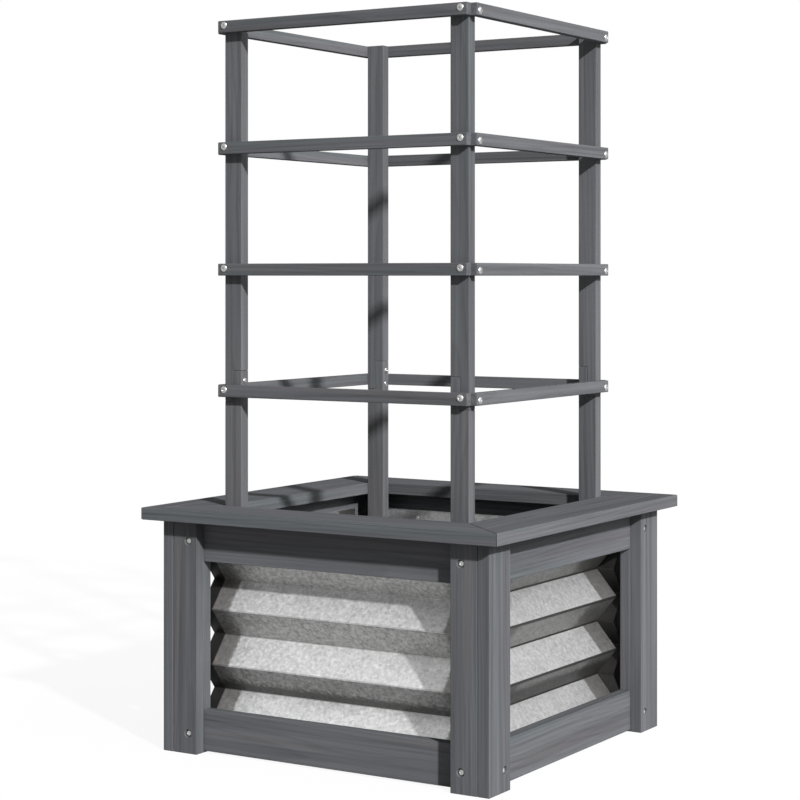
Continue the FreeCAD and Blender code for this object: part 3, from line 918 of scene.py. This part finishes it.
class PLANTER_OT_rim(PlanterOperator):
    """Mitred rim boards"""

    bl_idname = "planter.rim"
    bl_label = "Rim"

    def build(self):
        post_low, post_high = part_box("front_right_lower_post")
        # The inner edge is shorter by the mitres: it ends at the posts' outer faces.
        inner = {1: -post_low.y, 0: post_high.x}
        outer = -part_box("front_rim_board")[0].y
        mitre_gap = sizes().mitre_gap
        for side in SIDES:
            node = f"{side}_rim_board"
            low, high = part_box(node)
            out_axis = 1 if side in ACROSS else 0
            run_axis = 1 - out_axis
            low[run_axis], high[run_axis] = -outer, outer
            board = Board(low, high)
            outer_half = outer - mitre_gap
            inner_half = inner[run_axis] - mitre_gap
            outer_edge = math.copysign(board.half[1], board.centre[out_axis])
            outline = [(-outer_half, outer_edge), (outer_half, outer_edge),
                       (inner_half, -outer_edge), (-inner_half, -outer_edge)]
            mesh = timber(board, node, outline)
            show(f"{node}_wood", mesh, node, stained_timber())


class PLANTER_OT_posts(PlanterOperator):
    """Trellis posts, spliced by a half lap, and their spacer blocks"""

    bl_idname = "planter.posts"
    bl_label = "Posts"

    def build(self):
        for lower_node in nodes_ending("_lower_post"):
            upper_node = lower_node.replace("_lower_", "_upper_")
            lower_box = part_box(lower_node)
            upper_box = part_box(upper_node)
            lap_low = upper_box[0].z
            lap_high = lower_box[1].z
            # The lower post's tongue is its half towards the middle of the planter.
            outer = 1 if lower_box[0].x > 0 else -1
            self.half_lapped(lower_node, lower_box, lap_low, -outer, 1)
            self.half_lapped(upper_node, upper_box, lap_high, outer, -1)
        show_timber("post_blocks")

    def half_lapped(self, node, box, shoulder, tongue, end):
        """tongue is the side of the half that runs on to the end; end is +1 for a top end."""
        board = Board(*box)
        along, across, _ = board.half
        step = (shoulder - board.centre.z) * end
        outline = [
            (-along, -across * tongue), (step, -across * tongue), (step, 0.0),
            (along, 0.0), (along, across * tongue), (-along, across * tongue),
        ]
        outline = [(x * end, y) for x, y in outline]
        mesh = timber(board, node, outline)
        show(f"{node}_wood", mesh, node, stained_timber())


class PLANTER_OT_bars(PlanterOperator):
    """Four rings of trellis bars"""

    bl_idname = "planter.bars"
    bl_label = "Trellis bars"

    def build(self):
        for node in sorted(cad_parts):
            if "_trellis_bar_" in node:
                show_timber(node)


class PLANTER_OT_screws(PlanterOperator):
    """Every screw, with its domed head and cross recess"""

    bl_idname = "planter.screws"
    bl_label = "Screws"

    def build(self):
        show_screws("bar_screws", head_height=0.0022, shank_radius=0.00175)
        show_screws("leg_screws", head_height=0.0026, shank_radius=0.002)
        show_screws("splice_screws", head_height=0.0020, shank_radius=0.00175)
        show_screws("panel_screws", head_height=0.0020, shank_radius=0.00175)
        show_screws("post_foot_screws", head_height=0.0024, shank_radius=0.0025)


class PLANTER_OT_dowels(PlanterOperator):
    """Beech dowels inside the joints: the frame's own solids with their finish"""

    bl_idname = "planter.dowels"
    bl_label = "Dowels"

    def build(self):
        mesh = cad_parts["dowels"].data
        mesh.materials.clear()
        mesh.materials.append(raw_beech())


class PLANTER_OT_stage(PlanterOperator):
    """Floor, world, lights and camera"""

    bl_idname = "planter.stage"
    bl_label = "Stage"

    def build(self):
        self.floor()
        self.world()
        self.lights()
        self.camera()

    def floor(self):
        bm = bmesh.new()
        bmesh.ops.create_grid(bm, x_segments=8, y_segments=8, size=20)
        floor = new_object("floor", finished(bm, "floor"))
        floor.location.z = CAD_LOW.z
        floor.data.materials.append(pale_floor())

    def world(self):
        world = bpy.data.worlds.new("soft sky")
        bpy.context.scene.world = world
        shader = Shader(world)
        soft = bpy.context.scene.planter_stage.sky_strength
        strength = soft + backdrop_rays(shader) * (1.0 - soft)
        look = {"Color": (1, 1, 1, 1), "Strength": strength}
        shader.close(shader.add("ShaderNodeBackground", None, look))

    def lights(self):
        stage = bpy.context.scene.planter_stage
        self.lamp("key light", stage.key_turn, stage.key_height, stage.key_strength, stage.key_spread)
        self.lamp("soft fill", stage.fill_turn, stage.fill_height, stage.fill_strength, stage.fill_spread)

    def lamp(self, name, turn, height, strength, spread):
        """A distant light; its heading turns from the front towards the right."""
        level = math.cos(height)
        direction = Vector((math.sin(turn) * level, -math.cos(turn) * level, math.sin(height)))
        light = bpy.data.lights.new(name, "SUN")
        light.energy = strength
        light.angle = spread
        lamp = new_object(name, light)
        lamp.rotation_euler = direction.to_track_quat("Z", "Y").to_euler()
        lamp.location = direction * 4

    def camera(self):
        stage = bpy.context.scene.planter_stage
        data = bpy.data.cameras.new("camera")
        data.sensor_width = 36
        data.lens = stage.focal_pixels * data.sensor_width / PICTURE_PIXELS
        data.shift_x = 0.5 - stage.centre_column / PICTURE_PIXELS
        data.shift_y = stage.centre_row / PICTURE_PIXELS - 0.5
        camera = new_object("camera", data)
        camera.location = stage.camera_place
        camera.rotation_euler = (math.pi / 2, 0, stage.camera_turn)
        bpy.context.scene.camera = camera
        bpy.context.scene.view_settings.view_transform = "Standard"


PIECES = (
    PLANTER_OT_legs, PLANTER_OT_rails, PLANTER_OT_panels, PLANTER_OT_rim, PLANTER_OT_posts,
    PLANTER_OT_bars, PLANTER_OT_screws, PLANTER_OT_dowels, PLANTER_OT_stage,
)
GROUPS = (
    ("planter_sizes", PlanterSizes),
    ("planter_finish", PlanterFinish),
    ("planter_stage", PlanterStage),
)


class PLANTER_PT_main(bpy.types.Panel):
    """Builds the planter's pieces one by one"""

    bl_label = "Planter with trellis"
    bl_idname = "PLANTER_PT_main"
    bl_space_type = "VIEW_3D"
    bl_region_type = "UI"
    bl_category = "Planter"

    def draw(self, context):
        for piece in PIECES:
            self.layout.operator(piece.bl_idname)
        for name, group in GROUPS:
            box = self.layout.box()
            for field in group.__annotations__:
                box.prop(getattr(context.scene, name), field)


def register():
    for name, group in GROUPS:
        bpy.utils.register_class(group)
        setattr(bpy.types.Scene, name, PointerProperty(type=group))
    for item in (*PIECES, PLANTER_PT_main):
        bpy.utils.register_class(item)


def unregister():
    for item in (PLANTER_PT_main, *reversed(PIECES)):
        bpy.utils.unregister_class(item)
    for name, group in reversed(GROUPS):
        delattr(bpy.types.Scene, name)
        bpy.utils.unregister_class(group)


def main():
    register()
    bpy.ops.planter.legs()
    bpy.ops.planter.rails()
    bpy.ops.planter.panels()
    bpy.ops.planter.rim()
    bpy.ops.planter.posts()
    bpy.ops.planter.bars()
    bpy.ops.planter.screws()
    bpy.ops.planter.dowels()
    bpy.ops.planter.stage()


if __name__ == "__main__":
    main()
